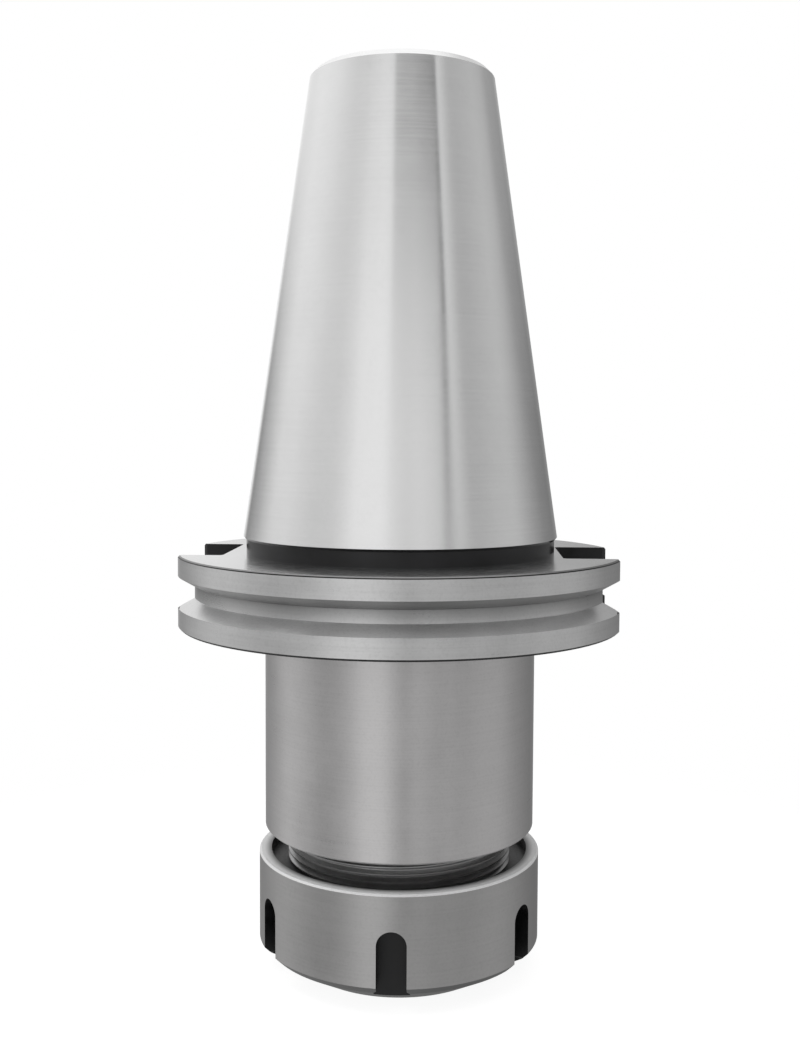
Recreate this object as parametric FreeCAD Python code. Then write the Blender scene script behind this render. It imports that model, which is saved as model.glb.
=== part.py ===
import FreeCAD, Part
import math
import os

# Collet chuck holder: a 7/24 steep taper shank, number 50, with a V-grooved tool changer flange
# and an ER40 collet nose. Millimetres. The axis is Z. The origin is on the axis at the gauge
# line, where the taper is 69.85 in diameter, and +Z points to the taper's small end.

# --- taper shank and pull stud thread ---
gauge_diameter = 69.85
taper_on_diameter = 7.0 / 24.0
taper_length = 101.6
small_end_chamfer = 1.3
taper_end_land = 0.5            # the ground cone stops this far above the gauge line
neck_depth = 0.6                # how far the black neck lies below the cone's large end
stud_thread_diameter = 25.4     # 1 in - 8, drawn at its major diameter
stud_thread_depth = 45.0
coolant_bore_diameter = 14.0

# --- flange ---
flange_diameter = 98.425
flange_face_drop = 3.18         # gauge line to the flange face on the taper side
flange_back_drop = 19.05        # gauge line to the flange face on the nose side
flange_edge_break = 0.45
groove_center_drop = 11.11
groove_depth = 3.5875           # flange rim to the groove floor, 91.25 in diameter
groove_floor_width = 2.7
groove_half_angle = 30.0
drive_slot_width = 25.7
drive_slot_floor_right = 35.4   # axis to the slot floor, +X side
drive_slot_floor_left = 37.7    # axis to the slot floor, -X side
drive_slot_round = 1.0
drive_slot_edge_break = 1.0     # where the slot runs out through the rim

# --- body and nose ---
body_diameter = 60.3
body_end_drop = 64.3            # gauge line to the shoulder above the nut
body_edge_break = 0.4
nose_end_drop = 81.0            # gauge line to the nose face, where the collet cone is 40 wide
nose_thread_diameter = 50.0     # M50 x 1.5, drawn at its minor diameter
thread_pitch = 1.5

# --- collet socket ---
socket_half_angle = 8.0
socket_mouth_diameter = 40.0
socket_end_clearance = 2.0      # free length behind the collet's rear face
stop_thread_diameter = 28.0     # M28 x 1.5
stop_thread_length = 39.0
seat_gap = 0.05                 # between the collet and the cones it seats on

# --- collet ---
collet_length = 46.0
collet_bore_diameter = 20.0
collet_largest_diameter = 41.0
collet_groove_width = 3.9
collet_groove_diameter = 36.2
collet_head_diameter = 40.0
collet_head_half_angle = 30.0
collet_head_length = 5.55
collet_slit_count = 8           # from each end
collet_slit_width = 1.0
front_slit_web = 7.0            # uncut length at the rear end
rear_slit_web = 9.0             # uncut length at the front end

# --- clamping nut ---
nut_diameter = 63.0
nut_length = 25.5
nut_back_drop = 69.85           # gauge line to the nut's rear face
nut_edge_break = 0.4
nut_recess_diameter = 57.6
nut_recess_depth = 2.4
nut_cylinder_length = 19.55     # rear face to the front chamfer
nut_chamfer = 1.75
nut_front_angle = 30.0          # slope of the front face
nut_mouth_diameter = 34.8
ring_bore_diameter = 40.5       # extraction ring, turned off centre
ring_offset = 1.1
ring_back_gap = 0.6             # from the collet groove's rear wall to the ring
ring_width = 2.6
spanner_slot_count = 6
spanner_slot_width = 6.3
spanner_slot_depth = 4.4
spanner_slot_start = 7.65       # nut's rear face to the slot's round end
spanner_slot_flare = 0.6
nut_turn = 0.3                  # angle at which the thread comes tight

# --- stop screw ---
stop_screw_length = 16.0
stop_screw_depth = 11.0         # from the thread's inner end to the screw at rest
stop_socket_width = 12.0        # across flats
stop_socket_depth = 8.0
stop_coolant_diameter = 6.0

# --- dependent sizes ---
gauge_radius = gauge_diameter / 2
cone_slope = taper_on_diameter / 2
flange_radius = flange_diameter / 2
body_radius = body_diameter / 2
nut_radius = nut_diameter / 2
socket_slope = math.tan(math.radians(socket_half_angle))
head_slope = math.tan(math.radians(collet_head_half_angle))
thread_minor_ratio = 1.2269     # external thread: major less this many pitches
nut_minor_ratio = 1.0825        # internal thread: major less this many pitches
nose_radius = (nose_thread_diameter - thread_minor_ratio * thread_pitch) / 2
nut_thread_radius = (nose_thread_diameter - nut_minor_ratio * thread_pitch) / 2
stop_radius = (stop_thread_diameter - thread_minor_ratio * thread_pitch) / 2
stop_bore_radius = (stop_thread_diameter - nut_minor_ratio * thread_pitch) / 2
nose_z = -nose_end_drop
nut_back_z = -nut_back_drop
nut_front_z = nut_back_z - nut_length
mouth_radius = socket_mouth_diameter / 2
groove_back_z = nose_z - (collet_largest_diameter / 2 - mouth_radius) / socket_slope
groove_front_z = groove_back_z - collet_groove_width
collet_front_z = groove_front_z - collet_head_length
collet_rear_z = collet_front_z + collet_length
socket_end_z = collet_rear_z + socket_end_clearance
stop_thread_end_z = socket_end_z + stop_thread_length


def cone_radius(z):
    """Radius of the 7/24 cone at height z."""
    return gauge_radius - cone_slope * z


def socket_radius(z):
    """Radius of the 8 degree collet socket at height z."""
    return mouth_radius - socket_slope * (z - nose_z)


def head_radius(z):
    """Radius of the collet's front cone at height z."""
    return collet_head_diameter / 2 + head_slope * (z - groove_front_z)


def turned(profile):
    """Solid of revolution about Z from a closed list of (radius, z) corners."""
    corners = [FreeCAD.Vector(radius, 0, z) for radius, z in profile]
    outline = Part.makePolygon(corners + [corners[0]])
    return Part.Face(outline).revolve(FreeCAD.Vector(0, 0, 0), FreeCAD.Vector(0, 0, 1), 360)


def turned_copies(shape, count, first_angle):
    """Equally spaced copies of a shape about the Z axis."""
    copies = []
    for index in range(count):
        copy = shape.copy()
        angle = first_angle + index * 360.0 / count
        copy.rotate(FreeCAD.Vector(0, 0, 0), FreeCAD.Vector(0, 0, 1), angle)
        copies.append(copy)
    return copies


def shank_and_flange():
    """Outside of the holder: cone, neck, grooved flange, body and nose thread."""
    chamfer_z = taper_length - small_end_chamfer
    end_radius = cone_radius(chamfer_z)
    land_radius = cone_radius(taper_end_land)
    neck_radius = land_radius - neck_depth
    groove_radius = flange_radius - groove_depth
    flank = groove_depth * math.tan(math.radians(groove_half_angle))
    floor_half = groove_floor_width / 2
    groove_z = -groove_center_drop
    face_z = -flange_face_drop
    back_z = -flange_back_drop
    shoulder_z = -body_end_drop
    return turned([
        (0, taper_length),
        (end_radius - small_end_chamfer, taper_length),
        (end_radius, chamfer_z),
        (land_radius, taper_end_land),
        (neck_radius, taper_end_land - neck_depth),
        (neck_radius, face_z),
        (flange_radius - flange_edge_break, face_z),
        (flange_radius, face_z - flange_edge_break),
        (flange_radius, groove_z + floor_half + flank),
        (groove_radius, groove_z + floor_half),
        (groove_radius, groove_z - floor_half),
        (flange_radius, groove_z - floor_half - flank),
        (flange_radius, back_z + flange_edge_break),
        (flange_radius - flange_edge_break, back_z),
        (body_radius, back_z),
        (body_radius, shoulder_z + body_edge_break),
        (body_radius - body_edge_break, shoulder_z),
        (nose_radius, shoulder_z),
        (nose_radius, nose_z),
        (0, nose_z),
    ])


def holder_bore():
    """Inside of the holder: pull stud thread, coolant bore, stop screw thread and socket."""
    top_z = taper_length
    stud_radius = stud_thread_diameter / 2
    coolant_radius = coolant_bore_diameter / 2
    stud_end_z = top_z - stud_thread_depth
    return turned([
        (0, top_z),
        (stud_radius, top_z),
        (stud_radius, stud_end_z),
        (coolant_radius, stud_end_z),
        (coolant_radius, stop_thread_end_z),
        (stop_bore_radius, stop_thread_end_z),
        (stop_bore_radius, socket_end_z),
        (socket_radius(socket_end_z), socket_end_z),
        (mouth_radius, nose_z),
        (0, nose_z),
    ])


def drive_slot(floor, side):
    """Cutter for one drive slot through the flange, on the side +1 or -1 of X."""
    half = drive_slot_width / 2
    height = flange_back_drop - flange_face_drop + 2
    low_z = -flange_back_drop - 1
    flare_x = math.sqrt(flange_radius ** 2 - half ** 2) - drive_slot_edge_break
    far_x = flange_radius + 1
    wide = half + far_x - flare_x
    outline = Part.makePolygon([
        FreeCAD.Vector(floor, -half, low_z),
        FreeCAD.Vector(flare_x, -half, low_z),
        FreeCAD.Vector(far_x, -wide, low_z),
        FreeCAD.Vector(far_x, wide, low_z),
        FreeCAD.Vector(flare_x, half, low_z),
        FreeCAD.Vector(floor, half, low_z),
        FreeCAD.Vector(floor, -half, low_z),
    ])
    cutter = Part.Face(outline).extrude(FreeCAD.Vector(0, 0, height))
    inner = [edge for edge in cutter.Edges if edge.BoundBox.XMax < floor + 0.01
             and edge.BoundBox.ZLength > height / 2]
    cutter = cutter.makeFillet(drive_slot_round, inner)
    if side < 0:
        cutter.rotate(FreeCAD.Vector(0, 0, 0), FreeCAD.Vector(0, 0, 1), 180)
    return cutter


def make_holder_body():
    """Taper shank, flange, body and nose in one piece."""
    slots = [drive_slot(drive_slot_floor_right, 1), drive_slot(drive_slot_floor_left, -1)]
    return shank_and_flange().cut(slots + [holder_bore()])


def collet_slit(low_z, high_z):
    """Cutter for one saw slit through the collet's wall."""
    corner = FreeCAD.Vector(0, -collet_slit_width / 2, low_z)
    return Part.makeBox(collet_largest_diameter, collet_slit_width, high_z - low_z, corner)


def make_collet():
    """ER40 collet: rear cone, extraction groove, front cone and slits from both ends."""
    bore_radius = collet_bore_diameter / 2
    rear_radius = socket_radius(collet_rear_z) - seat_gap
    cone_front_radius = collet_largest_diameter / 2 - seat_gap
    groove_radius = collet_groove_diameter / 2
    solid = turned([
        (bore_radius, collet_rear_z),
        (rear_radius, collet_rear_z),
        (cone_front_radius, groove_back_z),
        (groove_radius, groove_back_z),
        (groove_radius, groove_front_z),
        (collet_head_diameter / 2, groove_front_z),
        (head_radius(collet_front_z), collet_front_z),
        (bore_radius, collet_front_z),
    ])
    pitch_angle = 360.0 / collet_slit_count
    front_slit = collet_slit(collet_front_z - 1, collet_rear_z - front_slit_web)
    rear_slit = collet_slit(collet_front_z + rear_slit_web, collet_rear_z + 1)
    slits = turned_copies(front_slit, collet_slit_count, 0)
    slits += turned_copies(rear_slit, collet_slit_count, pitch_angle / 2)
    return solid.cut(slits)


def nut_ring():
    """The nut turned on centre, with a full web where the extraction ring will be."""
    ring_back_z = groove_back_z - ring_back_gap
    ring_front_z = ring_back_z - ring_width
    recess_radius = nut_recess_diameter / 2
    recess_floor_z = nut_back_z - nut_recess_depth
    bowl_gap = seat_gap / math.cos(math.radians(collet_head_half_angle))
    bowl_radius = head_radius(ring_front_z) + bowl_gap
    mouth = nut_mouth_diameter / 2
    mouth_back_z = ring_front_z - (bowl_radius - mouth) / head_slope
    chamfer_z = nut_back_z - nut_cylinder_length
    slope_z = chamfer_z - nut_chamfer
    front_slope = math.tan(math.radians(nut_front_angle))
    front_radius = nut_radius - nut_chamfer - (slope_z - nut_front_z) / front_slope
    web_radius = ring_bore_diameter / 2 - ring_offset
    return turned([
        (recess_radius, nut_back_z),
        (nut_radius - nut_edge_break, nut_back_z),
        (nut_radius, nut_back_z - nut_edge_break),
        (nut_radius, chamfer_z),
        (nut_radius - nut_chamfer, slope_z),
        (front_radius, nut_front_z),
        (mouth, nut_front_z),
        (mouth, mouth_back_z),
        (bowl_radius, ring_front_z),
        (web_radius, ring_front_z),
        (web_radius, ring_back_z),
        (nut_thread_radius, ring_back_z),
        (nut_thread_radius, recess_floor_z),
        (recess_radius, recess_floor_z),
    ])


def ring_bore():
    """Off-centre bore that leaves the extraction ring in reach of the collet's groove."""
    ring_back_z = groove_back_z - ring_back_gap
    center = FreeCAD.Vector(ring_offset, 0, ring_back_z - ring_width)
    return Part.makeCylinder(ring_bore_diameter / 2, ring_width, center)


def spanner_slot():
    """Cutter for one round-ended slot, open at the nut's front, with a flared way in."""
    half = spanner_slot_width / 2
    floor = nut_radius - spanner_slot_depth
    top_z = nut_back_z - spanner_slot_start
    arc_z = top_z - half
    low_z = nut_front_z - 1
    slope_z = nut_back_z - nut_cylinder_length - nut_chamfer
    flare_z = slope_z + spanner_slot_flare
    wide = half + spanner_slot_flare
    left = FreeCAD.Vector(floor, -half, arc_z)
    right = FreeCAD.Vector(floor, half, arc_z)
    arch = Part.Arc(left, FreeCAD.Vector(floor, 0, top_z), right).toShape()
    sides = Part.makePolygon([
        right,
        FreeCAD.Vector(floor, half, flare_z),
        FreeCAD.Vector(floor, wide, slope_z),
        FreeCAD.Vector(floor, wide, low_z),
        FreeCAD.Vector(floor, -wide, low_z),
        FreeCAD.Vector(floor, -wide, slope_z),
        FreeCAD.Vector(floor, -half, flare_z),
        left,
    ])
    outline = Part.Wire([arch] + sides.Edges)
    return Part.Face(outline).extrude(FreeCAD.Vector(spanner_slot_depth + 1, 0, 0))


def make_clamping_nut():
    """ER40 clamping nut with six spanner slots."""
    slots = turned_copies(spanner_slot(), spanner_slot_count, nut_turn - 90)
    return nut_ring().cut(slots + [ring_bore()])


def make_stop_screw():
    """Hollow hexagon socket screw that the tool shank rests against."""
    back_z = stop_thread_end_z - stop_screw_depth
    front_z = back_z - stop_screw_length
    coolant_radius = stop_coolant_diameter / 2
    solid = turned([
        (coolant_radius, back_z),
        (stop_radius, back_z),
        (stop_radius, front_z),
        (coolant_radius, front_z),
    ])
    corner_radius = stop_socket_width / math.sqrt(3)
    corners = []
    for index in range(7):
        angle = math.radians(60 * index)
        corners.append(FreeCAD.Vector(corner_radius * math.cos(angle),
                                      corner_radius * math.sin(angle), front_z))
    hexagon = Part.Face(Part.makePolygon(corners))
    return solid.cut(hexagon.extrude(FreeCAD.Vector(0, 0, stop_socket_depth)))


nodes = {
    "holder_body": make_holder_body(),
    "clamping_nut": make_clamping_nut(),
    "collet": make_collet(),
    "stop_screw": make_stop_screw(),
}

os.makedirs("parts", exist_ok=True)
for name, shape in nodes.items():
    shape.exportStep("parts/" + name + ".step")
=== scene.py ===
import math
from collections import namedtuple

import bmesh
import bpy
from mathutils import Matrix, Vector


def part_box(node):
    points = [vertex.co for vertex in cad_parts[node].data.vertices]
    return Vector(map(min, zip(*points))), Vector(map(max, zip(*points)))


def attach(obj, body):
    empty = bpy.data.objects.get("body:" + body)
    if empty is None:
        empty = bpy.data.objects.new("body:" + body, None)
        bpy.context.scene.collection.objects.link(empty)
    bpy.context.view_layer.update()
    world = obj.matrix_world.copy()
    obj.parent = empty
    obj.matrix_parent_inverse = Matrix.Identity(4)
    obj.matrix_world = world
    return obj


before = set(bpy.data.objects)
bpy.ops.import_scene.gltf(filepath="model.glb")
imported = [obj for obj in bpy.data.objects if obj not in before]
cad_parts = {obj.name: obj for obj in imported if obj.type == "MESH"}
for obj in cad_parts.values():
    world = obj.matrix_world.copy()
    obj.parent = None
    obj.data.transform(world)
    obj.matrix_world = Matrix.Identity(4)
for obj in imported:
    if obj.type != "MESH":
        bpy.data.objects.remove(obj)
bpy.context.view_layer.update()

MM = 0.001

# --- sizes that the scene shares with the part, in metres ---
NUT_BACK_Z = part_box("clamping_nut")[1].z
FLOOR_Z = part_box("clamping_nut")[0].z
SMALL_END_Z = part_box("holder_body")[1].z
GAUGE_RADIUS = 34.925 * MM
TAPER_SLOPE = 7 / 48                # radius lost for each unit of height
FLANGE_FACE_Z = -3.18 * MM
FLANGE_BACK_Z = -19.05 * MM
SHOULDER_Z = -64.3 * MM
NOSE_Z = -81.0 * MM
EDGE_BREAK = 0.45 * MM
GROOVE_LOW_Z = -12.5 * MM
GROOVE_HIGH_Z = -9.7 * MM
SOCKET_END_Z = -46.0 * MM

VIEW_ANGLE = math.radians(3.0)      # the camera's place round the axis, from -Y towards +X
NEAR = 0.01 * MM                    # a face this close to a plane lies in it
FINE_BUMP = 0.02 * MM               # height of the turning marks


# --- node trees ---
class Graph:
    """Adds nodes to a shader tree and wires them as they are made."""

    def __init__(self, tree, clear=True):
        self.tree = tree
        if clear:
            tree.nodes.clear()

    def add(self, kind, inputs=(), **settings):
        node = self.tree.nodes.new(kind)
        for name, value in settings.items():
            setattr(node, name, value)
        for key, value in dict(inputs).items():
            self.feed(node.inputs[key], value)
        return node

    def feed(self, socket, value):
        """Links a socket to another one, or sets its value."""
        if isinstance(value, bpy.types.NodeSocket):
            self.tree.links.new(value, socket)
        else:
            socket.default_value = value

    def math(self, operation, first, second=0.0, third=0.0):
        node = self.add("ShaderNodeMath", {0: first, 1: second, 2: third}, operation=operation)
        return node.outputs[0]

    def place(self):
        """Place on the object, in metres."""
        return self.add("ShaderNodeTexCoord").outputs["Object"]

    def split(self, vector):
        return self.add("ShaderNodeSeparateXYZ", {0: vector}).outputs

    def noise(self, vector, scale, detail, roughness=0.5):
        node = self.add("ShaderNodeTexNoise", {
            "Vector": vector, "Scale": scale, "Detail": detail, "Roughness": roughness})
        return node.outputs["Fac"]

    def rescale(self, value, low, high, to_low=0.0, to_high=1.0, curve="LINEAR"):
        """Maps the range low to high onto to_low to to_high, and holds the ends."""
        node = self.add("ShaderNodeMapRange", {
            "Value": value, "From Min": low, "From Max": high,
            "To Min": to_low, "To Max": to_high}, interpolation_type=curve)
        return node.outputs[0]

    def ramp(self, factor, stops, interpolation="LINEAR"):
        """Colour ramp from (position, grey level or colour) pairs."""
        node = self.add("ShaderNodeValToRGB", {"Fac": factor})
        band = node.color_ramp
        band.interpolation = interpolation
        while len(band.elements) < len(stops):
            band.elements.new(0.5)
        for element, (position, level) in zip(band.elements, stops):
            element.position = position
            color = level if isinstance(level, tuple) else (level, level, level)
            element.color = (*color, 1.0)
        return node.outputs["Color"]

    def mix(self, factor, first, second, blend="MIX"):
        node = self.add("ShaderNodeMix", {0: factor}, data_type="RGBA", blend_type=blend)
        for index, value in ((6, first), (7, second)):
            self.feed(node.inputs[index], (*value, 1.0) if isinstance(value, tuple) else value)
        return node.outputs[2]


def new_material(name):
    """An empty material and the graph that fills it."""
    material = bpy.data.materials.new(name)
    material.use_nodes = True
    return material, Graph(material.node_tree)


def add_object(name, data):
    thing = bpy.data.objects.new(name, data)
    bpy.context.scene.collection.objects.link(thing)
    return thing


def height_of(graph):
    """Height along the axis, in metres."""
    return graph.split(graph.place())[2]


def radius_of(graph):
    """Distance from the axis, in metres."""
    x, y, z = graph.split(graph.place())
    return axis_distance(graph, x, y)


def axis_distance(graph, x, y):
    squares = graph.math("ADD", graph.math("MULTIPLY", x, x), graph.math("MULTIPLY", y, y))
    return graph.math("SQRT", squares)


# --- metals ---
MARKS_ALONG = 30                    # how often marks change per metre in the turning direction
FEED_SLANT = 0.63                   # share of the radius added to the height, for flat faces


def turned_coordinates(graph, across):
    """Place on the object, and the same squeezed along the turning marks."""
    place = graph.place()
    x, y, z = graph.split(place)
    feed = graph.math("MULTIPLY_ADD", axis_distance(graph, x, y), FEED_SLANT, z)
    wave = graph.add("ShaderNodeCombineXYZ", {
        0: graph.math("MULTIPLY", x, MARKS_ALONG),
        1: graph.math("MULTIPLY", y, MARKS_ALONG),
        2: graph.math("MULTIPLY", feed, across)})
    return place, wave.outputs[0]


def turned_metal(name, color, roughness, anisotropy, marks=2600, depth=0.25, stain=0.05,
                 metallic=1.0, tint=(1.0, 1.0, 1.0)):
    """Metal with turning or grinding marks round the axis, faint stains and uneven polish."""
    material, graph = new_material(name)
    place, wave = turned_coordinates(graph, marks)
    fine = graph.noise(wave, 1.0, 3.0, 0.65)
    broad = graph.noise(place, 95.0, 5.0, 0.6)
    specks = graph.noise(place, 1900.0, 2.0)
    low = tuple(c * color * (1 - stain) for c in tint)
    high = tuple(min(1.0, c * color * (1 + stain)) for c in tint)
    clouds = graph.ramp(broad, [(0.3, low), (0.7, high)])
    lines = graph.ramp(fine, [(0.3, 1 - 1.2 * stain), (0.62, 1.0)])
    base = graph.mix(1.0, clouds, lines, "MULTIPLY")
    grain = graph.ramp(specks, [(0.34, 1 - 0.9 * stain), (0.5, 1.0)])
    base = graph.mix(1.0, base, grain, "MULTIPLY")
    polish = graph.rescale(broad, 0.3, 0.7, roughness * 0.86, roughness * 1.14)
    streaks = graph.math("MULTIPLY_ADD", fine, 0.12, polish)
    bump = graph.add("ShaderNodeBump", {"Height": fine, "Strength": depth,
                                        "Distance": FINE_BUMP})
    tangent = graph.add("ShaderNodeTangent", direction_type="RADIAL", axis="Z")
    shader = graph.add("ShaderNodeBsdfPrincipled", {
        "Base Color": base, "Metallic": metallic, "Roughness": streaks,
        "Anisotropic": anisotropy, "Anisotropic Rotation": 0.25,
        "Tangent": tangent.outputs[0], "Normal": bump.outputs[0]})
    graph.add("ShaderNodeOutputMaterial", {"Surface": shader.outputs[0]})
    return material


def black_oxide(name, level, roughness, marks=2600):
    """Blackened steel: nearly black, oily sheen, turning marks that show through."""
    material, graph = new_material(name)
    place, wave = turned_coordinates(graph, marks)
    fine = graph.noise(wave, 1.0, 3.0)
    broad = graph.noise(place, 260.0, 5.0)
    base = graph.ramp(broad, [(0.3, (level * 0.7,) * 3),
                              (0.7, (level * 1.3, level * 1.28, level * 1.4))])
    polish = graph.rescale(broad, 0.3, 0.7, roughness * 0.8, roughness * 1.2)
    bump = graph.add("ShaderNodeBump", {"Height": fine, "Strength": 0.3,
                                        "Distance": FINE_BUMP})
    shader = graph.add("ShaderNodeBsdfPrincipled", {
        "Base Color": base, "Metallic": 0.35, "Roughness": polish,
        "Normal": bump.outputs[0]})
    graph.add("ShaderNodeOutputMaterial", {"Surface": shader.outputs[0]})
    return material


def shade(material, measure, low, high, levels):
    """Paints shade: multiplies a material's colour by a ramp of a measure that runs from low to
    high.
    """
    graph = Graph(material.node_tree, clear=False)
    tone = graph.ramp(graph.rescale(measure(graph), low, high), levels)
    shader = next(node for node in graph.tree.nodes if node.type == "BSDF_PRINCIPLED")
    color = shader.inputs["Base Color"]
    graph.feed(color, graph.mix(1.0, color.links[0].from_socket, tone, "MULTIPLY"))


# Each line: name, colour, roughness, anisotropy. The nut's rear ring and edge and the body's
# lower edge break are set less metallic than steel is, which makes them lighter: painted light.
ground_taper = turned_metal("ground_taper", 0.84, 0.15, 0.85, marks=3400, depth=0.10, stain=0.02)
end_chamfer = turned_metal("bright_end_chamfer", 0.97, 0.22, 0.3, marks=1500, depth=0.1,
                           stain=0.01)
small_end = turned_metal("turned_end", 0.70, 0.34, 0.5, marks=1500, depth=0.4)
flange_face = turned_metal("fine_turned_face", 0.68, 0.14, 0.4, marks=1300, depth=0.15)
flange_rim = turned_metal("satin_flange", 0.64, 0.26, 0.8, marks=1800, depth=0.3, stain=0.06)
groove_painted_shadow = turned_metal("satin_groove_painted_shadow", 0.58, 0.25, 0.8, marks=1600, depth=0.3, stain=0.06)
# painted shadow: the groove's floor is darker towards its upper side, under the upper flank
shade(groove_painted_shadow, height_of, GROOVE_LOW_Z, GROOVE_HIGH_Z,
      [(0.0, 1.0), (0.4, 0.78), (0.75, 0.62), (1.0, 0.45)])
# One steel on both flanks: painted shade on the downward one, painted light on the upward one
upper_flank_painted_shade = turned_metal("satin_upper_flank_painted_shade", 0.40, 0.30, 0.7, marks=1600, depth=0.3,
                           stain=0.06)
lower_flank_painted_light = turned_metal("satin_lower_flank_painted_light", 0.82, 0.30, 0.7, marks=1600, depth=0.3,
                           stain=0.06)
body = turned_metal("satin_body", 0.57, 0.26, 0.85, marks=2400, depth=0.15, stain=0.05,
                    tint=(1.0, 0.985, 0.985))
# painted light: the body's downward-facing edge break is lighter and less metallic than steel
body_edge_painted_light = turned_metal("satin_body_edge_painted_light", 0.62, 0.40, 0.4, marks=2400, depth=0.2, metallic=0.3)
nose_thread = turned_metal("cut_thread", 0.42, 0.26, 0.4, marks=2600, depth=0.3)
bore = turned_metal("drilled_bore", 0.38, 0.42, 0.4, marks=1200, depth=0.5, stain=0.1)
socket = turned_metal("ground_socket", 0.66, 0.22, 0.7, marks=2600, depth=0.15)
nut_side = turned_metal("satin_nut", 0.43, 0.30, 0.75, marks=2200, depth=0.25, stain=0.05,
                        tint=(1.0, 0.99, 0.985))
# painted light: the nut's rear ring is white and not metallic; painted shade darkens its inner
# edge
nut_back_painted_light_and_shade = turned_metal("nut_ring_painted_light_and_shade", 1.0, 0.45, 0.2, marks=1700, depth=0.4, metallic=0.0)
shade(nut_back_painted_light_and_shade, radius_of, 29.0 * MM, 30.4 * MM, [(0.0, 0.28), (1.0, 1.0)])
# painted highlight: the nut's rear edge break is white and barely metallic
nut_edge_painted_highlight = turned_metal("nut_rim_painted_highlight", 1.0, 0.40, 0.3, marks=1700, depth=0.2, metallic=0.2)
# painted shade: the nut's downward-facing faces are darker than its side
nut_foot_painted_shade = turned_metal("nut_chamfer_painted_shade", 0.22, 0.36, 0.5, marks=2000, depth=0.3)
# painted shade: the recess is far darker than the nut's steel, with grit stains on top
nut_recess_painted_shade = turned_metal("recess_painted_shade", 0.14, 0.42, 0.3, marks=1800, depth=0.5, stain=0.25)
nut_inside = turned_metal("nut_inside", 0.34, 0.36, 0.4, marks=2000, depth=0.4)
collet_metal = turned_metal("ground_collet", 0.66, 0.22, 0.6, marks=2800, depth=0.15)
collet_slit = turned_metal("sawn_slit", 0.30, 0.5, 0.0, marks=5200, depth=0.6, stain=0.12)
neck_black = black_oxide("black_neck", 0.012, 0.22)
# black oxide in the slots, also used as painted shade on the flange's lower edge break
slot_black_and_painted_shade = black_oxide("black_slot_and_painted_shade", 0.012, 0.42)
# painted shade: the flange's upper edge break is dark, nearly black along its lower part
flange_edge_painted_shade = turned_metal("upper_flange_edge_painted_shade", 0.30, 0.30, 0.4, marks=2600, depth=0.2)
shade(flange_edge_painted_shade, height_of, FLANGE_FACE_Z - EDGE_BREAK, FLANGE_FACE_Z,
      [(0.35, 0.03), (0.55, 1.0)])
screw_black = black_oxide("black_screw", 0.02, 0.4)


# --- finish of each face of the CAD bodies ---
# r and z are a face centre's place; up, out and aside are the parts of its normal along the axis,
# away from the axis and round it (without sign). At 1 the whole normal points that way.
Spot = namedtuple("Spot", "r z up out aside")

TAPER_LOW_Z = 0.4 * MM              # the ground cone's faces have their centres above this
CHAMFER_REACH = 1.6 * MM            # the small end's chamfer lies no further inside the cone
SOCKET_LIMIT = 20.3 * MM            # radii between one kind of surface and the next
NOSE_FACE_LIMIT = 20.5 * MM
NOSE_LIMIT = 24.3 * MM
FACE_LIMIT = 30.0 * MM
BORE_LIMIT = 31.0 * MM
BACK_LIMIT = 32.0 * MM
NECK_LIMIT = 33.0 * MM
SLOT_FLOOR_LIMIT = 44.0 * MM
GROOVE_LIMIT = 46.0 * MM
RIM_EDGE_LIMIT = 48.6 * MM
RIM_MIDDLE_Z = -10.0 * MM           # edge breaks above this belong to the upper half


def holder_zone(spot):
    r, z, up = spot.r, spot.z, spot.up
    if z > SMALL_END_Z - NEAR:
        return small_end
    outer_cone = GAUGE_RADIUS - z * TAPER_SLOPE
    if z > TAPER_LOW_Z and r > outer_cone - CHAMFER_REACH:
        return end_chamfer if up > 0.5 else ground_taper
    if z > FLANGE_FACE_Z + NEAR and r > NECK_LIMIT:
        return neck_black
    if r < SOCKET_LIMIT and spot.out <= 0 and abs(up) <= 0.999:
        return socket if z < SOCKET_END_Z else bore
    if z > FLANGE_FACE_Z - NEAR and r > FACE_LIMIT:
        return flange_face
    if abs(z - FLANGE_BACK_Z) < NEAR and r > BACK_LIMIT:
        return flange_rim
    if z < FLANGE_BACK_Z + NEAR and r > NOSE_LIMIT:
        # painted light on the body's downward-facing edge breaks
        return body_edge_painted_light if -0.9 < up < -0.4 else body
    # painted shade on both edge breaks; the lower one takes the black slot finish
    if r > RIM_EDGE_LIMIT and 0.5 < abs(up) < 0.9:
        return flange_edge_painted_shade if z > RIM_MIDDLE_Z else slot_black_and_painted_shade
    if z < FLANGE_BACK_Z and r > NOSE_FACE_LIMIT:
        return nose_thread
    if r < BORE_LIMIT:
        return bore
    if spot.aside > 0.12 or r < SLOT_FLOOR_LIMIT:
        return slot_black_and_painted_shade
    if abs(up) > 0.8:
        # painted light on the upward flank, painted shade on the downward one
        return lower_flank_painted_light if up > 0 else upper_flank_painted_shade
    return groove_painted_shadow if r < GROOVE_LIMIT else flange_rim


RING_REACH = 0.3 * MM               # depths below the nut's rear face
RECESS_REACH = 3.4 * MM
SLOT_END_DEPTH = 3.0 * MM           # the slots' round ends lie deeper than this
SLOT_END_HEIGHT = 6.0 * MM          # and higher than this above the nut's front face
NUT_THREAD_LIMIT = 25.0 * MM        # radii between one kind of surface and the next
SLOT_END_LIMIT = 26.0 * MM
SLOT_LIMIT = 26.5 * MM
RING_LIMIT = 28.9 * MM
RECESS_LIMIT = 29.0 * MM
SLOT_BACK_LIMIT = 30.9 * MM


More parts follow.
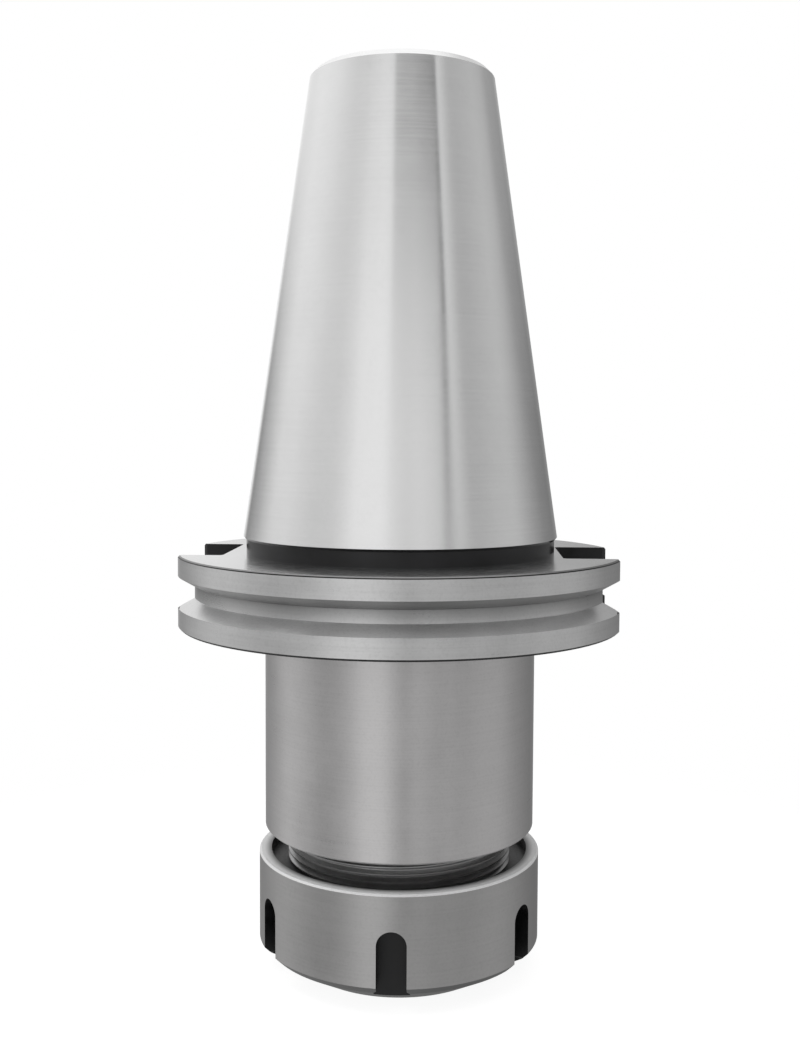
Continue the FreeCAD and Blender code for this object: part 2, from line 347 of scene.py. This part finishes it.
def nut_zone(spot):
    r, z, up = spot.r, spot.z, spot.up
    if z > NUT_BACK_Z - RING_REACH and r > RING_LIMIT:
        return nut_back_painted_light_and_shade if up > 0.9 else nut_edge_painted_highlight
    if r > SLOT_LIMIT and (spot.aside > 0.08 or spot.out > 0.99 and r < SLOT_BACK_LIMIT):
        return slot_black_and_painted_shade
    between = FLOOR_Z + SLOT_END_HEIGHT < z < NUT_BACK_Z - SLOT_END_DEPTH
    if r > SLOT_END_LIMIT and between and abs(up) > 0.5:
        return slot_black_and_painted_shade
    if r < RECESS_LIMIT and z > NUT_BACK_Z - RECESS_REACH:
        return nut_recess_painted_shade
    if spot.out < 0.2 and r < NUT_THREAD_LIMIT and z > FLOOR_Z + NEAR:
        return nut_inside
    # painted shade on the nut's downward-facing faces
    return nut_foot_painted_shade if up < -0.3 else nut_side


def collet_zone(spot):
    return collet_slit if spot.aside > 0.5 else collet_metal


def screw_zone(spot):
    return screw_black


def spot_of(face):
    x, y, z = face.center
    r = math.hypot(x, y)
    divisor = max(r, 1e-6)
    out = (face.normal.x * x + face.normal.y * y) / divisor
    aside = abs(face.normal.x * y - face.normal.y * x) / divisor
    return Spot(r, z, face.normal.z, out, aside)


def finish_node(name, zone):
    """Gives every face of a CAD body the material of its zone."""
    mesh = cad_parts[name].data
    mesh.materials.clear()
    slots = {}
    for face in mesh.polygons:
        material = zone(spot_of(face))
        if material.name not in slots:
            slots[material.name] = len(slots)
            mesh.materials.append(material)
        face.material_index = slots[material.name]


finish_node("holder_body", holder_zone)
finish_node("clamping_nut", nut_zone)
finish_node("collet", collet_zone)
finish_node("stop_screw", screw_zone)


# --- screw threads ---
ROOT_HALF = 0.4375                  # half the ridge's width at its root, in pitches
OUTER_CREST_HALF = 0.0625           # half its width at the crest of an external thread
INNER_CREST_HALF = 0.125            # and of an internal one
RUN_OUT = 3                         # the ridge rises to full height in a third of a turn


def thread(name, root, crest, pitch, low_z, high_z, material, steps=96):
    """Right-hand 60 degree thread: one ridge wound from low_z to high_z, thinning at both ends."""
    root_half = pitch * ROOT_HALF
    crest_half = pitch * (OUTER_CREST_HALF if crest > root else INNER_CREST_HALF)
    turns = (high_z - low_z) / pitch
    mesh = bmesh.new()
    rings = []
    for index in range(int(turns * steps) + 1):
        turn = index / steps
        angle = 2 * math.pi * turn
        rise = max(0.0, min(1.0, turn * RUN_OUT, (turns - turn) * RUN_OUT))
        top = root + (crest - root) * rise
        z = low_z + pitch * turn
        section = ((root, -root_half), (top, -crest_half), (top, crest_half), (root, root_half))
        rings.append([mesh.verts.new((r * math.cos(angle), r * math.sin(angle), z + dz))
                      for r, dz in section])
    for first, second in zip(rings, rings[1:]):
        for a, b in ((0, 1), (1, 2), (2, 3), (3, 0)):
            mesh.faces.new((first[a], second[a], second[b], first[b]))
    mesh.faces.new(rings[0])
    mesh.faces.new(reversed(rings[-1]))
    bmesh.ops.recalc_face_normals(mesh, faces=mesh.faces)
    data = bpy.data.meshes.new(name)
    mesh.to_mesh(data)
    mesh.free()
    data.materials.append(material)
    return add_object(name, data)


# The nose's ridge goes on inside the nut, where it runs into the nut's plain wall.
nose = thread("nose_thread", 24.05 * MM, 25.0 * MM, 1.5 * MM, NOSE_Z + 1.2 * MM,
              SHOULDER_Z - 2.0 * MM, nose_thread)
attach(nose, "holder")
stud = thread("pull_stud_thread", 12.72 * MM, 11.15 * MM, 3.175 * MM, 59.0 * MM,
              99.2 * MM, bore)
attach(stud, "holder")


# --- studio: floor, world and lamp ---
FLOOR_RADIUS = 0.42
FLOOR_DROP = 0.1 * MM               # the floor lies this far below the nut


def make_floor():
    """Pale floor that takes the object's soft shadow and runs out into the white background."""
    mesh = bmesh.new()
    bmesh.ops.create_circle(mesh, cap_ends=True, segments=96, radius=FLOOR_RADIUS)
    data = bpy.data.meshes.new("floor")
    mesh.to_mesh(data)
    mesh.free()
    floor = add_object("floor", data)
    floor.location = (0, 0, FLOOR_Z - FLOOR_DROP)
    material, graph = new_material("pale_floor")
    distance = graph.add("ShaderNodeVectorMath", {0: graph.place()}, operation="LENGTH")
    share = graph.math("MULTIPLY", distance.outputs["Value"], 1 / FLOOR_RADIUS)
    fade = graph.ramp(share, [(0.12, 0.0), (0.42, 1.0)], "EASE")
    path = graph.add("ShaderNodeLightPath")
    diffuse = graph.add("ShaderNodeBsdfDiffuse", {"Color": (0.25, 0.25, 0.25, 1)})
    glow = graph.add("ShaderNodeEmission", {"Color": (0.90, 0.90, 0.90, 1),
                                            "Strength": path.outputs["Is Camera Ray"]})
    lit = graph.add("ShaderNodeAddShader", {0: diffuse.outputs[0], 1: glow.outputs[0]})
    clear = graph.add("ShaderNodeBsdfTransparent")
    under = graph.add("ShaderNodeNewGeometry").outputs["Backfacing"]
    seen = graph.math("MAXIMUM", fade,
                      graph.math("MAXIMUM", under, path.outputs["Is Glossy Ray"]))
    surface = graph.add("ShaderNodeMixShader", {0: seen, 1: lit.outputs[0], 2: clear.outputs[0]})
    graph.add("ShaderNodeOutputMaterial", {"Surface": surface.outputs[0]})
    data.materials.append(material)


# Soft boxes and dark gaps round the object: azimuth in degrees from the camera's side, positive
# to the right, and the light there. One list for each height, from low to high.
STUDIO = (
    (-0.24, ((-180, 0.40), (-150, 0.34), (-128, 0.52), (-108, 0.74), (-92, 0.62), (-68, 0.40),
             (-54, 0.48), (-42, 0.64), (-29, 0.92), (-14, 0.90), (-4, 0.62), (4, 0.46),
             (14, 0.63), (33, 0.51), (40, 0.60), (50, 0.51), (76, 0.61), (93, 0.60),
             (110, 0.46), (128, 0.36), (150, 0.24), (180, 0.40))),
    (0.02, ((-180, 0.60), (-171, 0.92), (-162, 0.92), (-152, 0.25), (-128, 0.45), (-108, 0.72),
            (-92, 0.76), (-66, 0.62), (-50, 0.64), (-34, 0.86), (-14, 0.86), (-4, 0.72),
            (4, 0.60), (14, 0.68), (35, 0.53), (54, 0.47), (76, 0.53), (93, 0.52), (107, 0.38),
            (128, 0.24), (150, 0.20), (170, 0.32), (180, 0.60))),
    (0.36, ((-180, 0.70), (-165, 0.98), (-146, 0.88), (-130, 0.88), (-112, 0.90), (-90, 0.84),
            (-68, 0.74), (-54, 0.72), (-44, 0.80), (-34, 0.95), (-14, 0.97), (-5, 0.89),
            (4, 0.89), (14, 0.90), (25, 0.85), (35, 0.78), (40, 0.70), (44, 0.74), (54, 0.46),
            (64, 0.46), (93, 0.58), (107, 0.54), (122, 0.38), (150, 0.34), (180, 0.70))),
    (0.52, ((-180, 0.85), (-131, 0.98), (-85, 0.88), (-60, 0.71), (-42, 0.67), (-20, 0.77),
            (-10, 0.74), (-8, 0.37), (4, 0.33), (14, 0.30), (25, 0.23), (40, 0.18), (42, 0.85),
            (50, 0.60), (60, 0.48), (93, 0.50), (131, 0.40), (180, 0.85))),
)


def ramp_place(angle):
    """Position on an azimuth ramp: the camera's side is in the middle."""
    return 0.5 + angle / 360


OVERHEAD_START = 0.7                # sines of the heights between which the sky turns white
OVERHEAD_END = 0.93
GAP_ANGLE = 26                      # the leaning dark gap, in degrees from the camera's side
GAP_LEAN = 36                       # degrees it moves for each unit of height
GAP_LAST_ANGLE = 40.5
GAP_CORE = 1.2                      # half widths in degrees, of the dark and of its soft edge
GAP_EDGE = 2.4
GAP_STRENGTH = 0.9
GAP_LOW = 0.05                      # sines of the heights between which it fades in
GAP_HIGH = 0.25
GAP_COLOR = (0.05, 0.05, 0.05)


def make_world():
    """White for the camera, and a soft studio for everything that the object reflects."""
    world = bpy.data.worlds.new("studio")
    world.use_nodes = True
    bpy.context.scene.world = world
    graph = Graph(world.node_tree)
    direction = graph.add("ShaderNodeTexCoord").outputs["Generated"]
    x, y, z = graph.split(direction)
    azimuth = graph.math("ARCTAN2", x, graph.math("MULTIPLY", y, -1.0))
    around = graph.math("MULTIPLY_ADD", azimuth, 0.5 / math.pi, 0.5 - 0.5 * VIEW_ANGLE / math.pi)
    light = None
    for height, bands in STUDIO:
        level = graph.ramp(around, [(ramp_place(angle), value) for angle, value in bands])
        if light is None:
            light = level
        else:
            step = graph.rescale(z, previous, height, curve="SMOOTHSTEP")
            light = graph.mix(step, light, level)
        previous = height
    overhead = graph.rescale(z, OVERHEAD_START, OVERHEAD_END, curve="SMOOTHSTEP")
    light = graph.mix(overhead, light, (1.0, 1.0, 1.0))
    lean = graph.math("MULTIPLY_ADD", z, GAP_LEAN / 360, ramp_place(GAP_ANGLE))
    middle = graph.math("MINIMUM", lean, ramp_place(GAP_LAST_ANGLE))
    aside = graph.math("ABSOLUTE", graph.math("SUBTRACT", around, middle))
    gap = graph.rescale(aside, GAP_CORE / 360, GAP_EDGE / 360, GAP_STRENGTH, 0.0)
    gap = graph.math("MULTIPLY", gap, graph.rescale(z, GAP_LOW, GAP_HIGH))
    light = graph.mix(gap, light, GAP_COLOR)
    studio = graph.add("ShaderNodeBackground", {"Color": light, "Strength": 1.0})
    white = graph.add("ShaderNodeBackground", {"Color": (1, 1, 1, 1), "Strength": 1.0})
    path = graph.add("ShaderNodeLightPath")
    seen = graph.add("ShaderNodeMixShader", {
        0: path.outputs["Is Camera Ray"], 1: studio.outputs[0], 2: white.outputs[0]})
    graph.add("ShaderNodeOutputWorld", {"Surface": seen.outputs[0]})


def make_lamp():
    """One large soft lamp overhead for the shadow on the floor."""
    light = bpy.data.lights.new("overhead", "AREA")
    light.shape = "DISK"
    light.size = 0.5
    light.energy = 1.2
    lamp = add_object("overhead", light)
    lamp.location = (-0.15, -0.15, 0.6)
    lamp.rotation_euler = (math.radians(-14), math.radians(-14), 0)
    lamp.visible_glossy = False


CAMERA_DISTANCE = 0.2721            # from the axis and above the gauge line, in metres
CAMERA_HEIGHT = 0.0237
CAMERA_PAN = 0.0011                 # small turns from straight ahead, in radians
CAMERA_DOWN = 0.058
CAMERA_ROLL = 0.0044


def make_camera():
    """Camera in front of the object, a little above the flange, looking slightly down."""
    data = bpy.data.cameras.new("camera")
    data.lens = 41.52
    data.sensor_width = 36.0
    data.shift_x = 0.0008
    data.shift_y = -0.0244
    data.clip_start = 0.01
    camera = add_object("camera", data)
    orbit = Matrix.Rotation(VIEW_ANGLE, 4, "Z")
    stand = Matrix.Translation((0, -CAMERA_DISTANCE, CAMERA_HEIGHT))
    pan = Matrix.Rotation(CAMERA_PAN, 4, "Z")
    tilt = Matrix.Rotation(math.pi / 2 - CAMERA_DOWN, 4, "X")
    roll = Matrix.Rotation(CAMERA_ROLL, 4, "Z")
    camera.matrix_world = orbit @ stand @ pan @ tilt @ roll
    bpy.context.scene.camera = camera


make_floor()
make_world()
make_lamp()
make_camera()
bpy.context.scene.view_settings.view_transform = "Standard"
